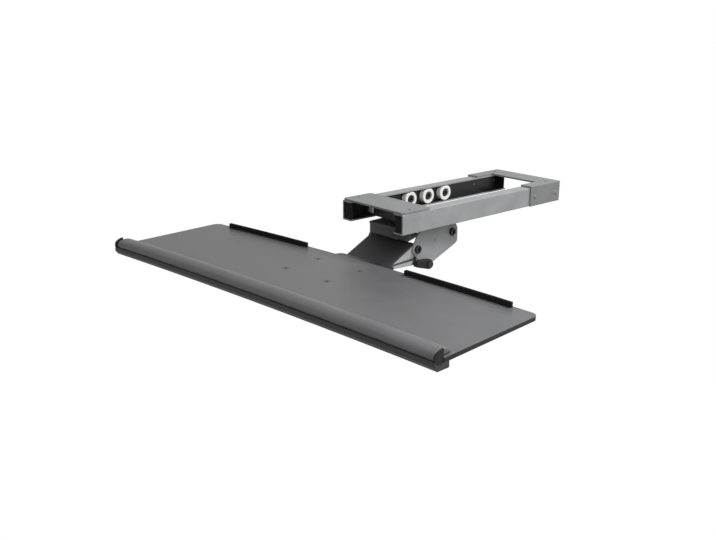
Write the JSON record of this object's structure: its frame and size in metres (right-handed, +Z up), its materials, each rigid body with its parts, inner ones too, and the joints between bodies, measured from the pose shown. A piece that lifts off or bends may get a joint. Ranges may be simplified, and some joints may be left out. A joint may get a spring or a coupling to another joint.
{
  "type": "under-desk keyboard tray",
  "caption": "Under-desk keyboard tray: a roller track, a swivelling lift arm and a tilting platform with a palm rest.",
  "frame": {"origin": "centre of the desk-screw pattern, on the plane of the desk's underside", "axes": "+Z up, +X to the seated user's right, +Y away from the user along the track"},
  "size_m": [0.684, 0.6675, 0.104],
  "materials": {
    "platform_laminate": "matte",
    "frame_steel": "satin",
    "arm_steel": "satin",
    "hood_steel": "matte",
    "zinc_steel": "satin",
    "black_steel": "satin",
    "nylon": "satin",
    "black_plastic": "matte",
    "black_rubber": "matte",
    "palm_rest_cover": "matte"
  },
  "bodies": {
    "track": {"rail_right": "frame_steel", "rail_left": "frame_steel", "front_plate": "frame_steel", "rear_bracket": "frame_steel", "rear_bracket_rivets": "frame_steel", "track_end_stops": "black_rubber"},
    "carriage": {"carriage": "black_steel", "roller_bolts": "black_steel", "carriage_glides": "nylon", "swivel_stud": "zinc_steel", "swivel_bearing": "black_plastic", "swivel_nut": "zinc_steel"},
    "swivel": {"swivel_yoke": "arm_steel", "lift_pin": "black_steel", "link_rear_pin": "zinc_steel", "lift_spring": "black_steel", "spring_sleeve": "black_plastic"},
    "lift_arm": {"arm_plate_right": "arm_steel", "arm_plate_left": "arm_steel", "arm_spacer": "zinc_steel", "lever_stud": "zinc_steel"},
    "link": {"levelling_link": "black_steel"},
    "head": {"head_block": "black_steel", "tilt_pin": "black_steel", "link_front_pin": "zinc_steel"},
    "platform": {"tray_bracket": "arm_steel", "bracket_hood": "hood_steel", "tray_platform": "platform_laminate", "tray_screws": "black_steel", "tray_nuts": "zinc_steel", "palm_rest": "palm_rest_cover", "palm_rest_end_caps": "black_plastic", "palm_rest_base": "black_plastic", "keyboard_stop_left": "black_rubber", "keyboard_stop_right": "black_rubber"},
    "lever": {"lock_lever": "black_plastic"},
    "roller_left_1": {"roller_left_1": "nylon"},
    "roller_left_2": {"roller_left_2": "nylon"},
    "roller_left_3": {"roller_left_3": "nylon"},
    "roller_right_1": {"roller_right_1": "nylon"},
    "roller_right_2": {"roller_right_2": "nylon"},
    "roller_right_3": {"roller_right_3": "nylon"}
  },
  "joints": [
    {"name": "carriage_slide", "type": "slide", "parent": "track", "child": "carriage", "axis": [0, 1, 0], "range_m": [-0.03, 0.12]},
    {"name": "swivel_turn", "type": "hinge", "parent": "carriage", "child": "swivel", "pos_m": [0, -0.107, 0], "axis": [0, 0, 1], "range_deg": [-50, 40]},
    {"name": "arm_lift", "type": "hinge", "parent": "swivel", "child": "lift_arm", "pos_m": [-0.00418, -0.05918, -0.056], "axis": [0.9962, 0.0872, 0], "range_deg": [0, 35]},
    {"name": "link_swing", "type": "hinge", "parent": "swivel", "child": "link", "pos_m": [-0.0041, -0.06018, -0.077], "axis": [0.9962, 0.0872, 0], "range_deg": [0, 35]},
    {"name": "head_level", "type": "hinge", "parent": "lift_arm", "child": "head", "pos_m": [0.00331, -0.14486, -0.0685], "axis": [0.9962, 0.0872, 0], "range_deg": [-35, 0]},
    {"name": "platform_tilt", "type": "hinge", "parent": "head", "child": "platform", "pos_m": [0.00331, -0.14486, -0.0685], "axis": [0.9962, 0.0872, 0], "range_deg": [-3, 15]},
    {"name": "lever_turn", "type": "hinge", "parent": "lift_arm", "child": "lever", "pos_m": [0.00148, -0.12394, -0.096], "axis": [0.9962, 0.0872, 0], "range_deg": [-20, 20]},
    {"name": "roller_left_1_spin", "type": "hinge", "parent": "carriage", "child": "roller_left_1", "pos_m": [0, -0.055, -0.019], "axis": [1, 0, 0], "range_deg": [-600, 600]},
    {"name": "roller_left_2_spin", "type": "hinge", "parent": "carriage", "child": "roller_left_2", "pos_m": [0, -0.013, -0.019], "axis": [1, 0, 0], "range_deg": [-600, 600]},
    {"name": "roller_left_3_spin", "type": "hinge", "parent": "carriage", "child": "roller_left_3", "pos_m": [0, 0.029, -0.019], "axis": [1, 0, 0], "range_deg": [-600, 600]},
    {"name": "roller_right_1_spin", "type": "hinge", "parent": "carriage", "child": "roller_right_1", "pos_m": [0, -0.055, -0.019], "axis": [1, 0, 0], "range_deg": [-600, 600]},
    {"name": "roller_right_2_spin", "type": "hinge", "parent": "carriage", "child": "roller_right_2", "pos_m": [0, -0.013, -0.019], "axis": [1, 0, 0], "range_deg": [-600, 600]},
    {"name": "roller_right_3_spin", "type": "hinge", "parent": "carriage", "child": "roller_right_3", "pos_m": [0, 0.029, -0.019], "axis": [1, 0, 0], "range_deg": [-600, 600]}
  ],
  "couplings": [
    {"joint": "link_swing", "follows": "arm_lift", "ratio": 1},
    {"joint": "head_level", "follows": "arm_lift", "ratio": -1},
    {"joint": "roller_left_1_spin", "follows": "carriage_slide", "rad_per_m": -74.627},
    {"joint": "roller_left_2_spin", "follows": "carriage_slide", "rad_per_m": -74.627},
    {"joint": "roller_left_3_spin", "follows": "carriage_slide", "rad_per_m": -74.627},
    {"joint": "roller_right_1_spin", "follows": "carriage_slide", "rad_per_m": -74.627},
    {"joint": "roller_right_2_spin", "follows": "carriage_slide", "rad_per_m": -74.627},
    {"joint": "roller_right_3_spin", "follows": "carriage_slide", "rad_per_m": -74.627}
  ]
}
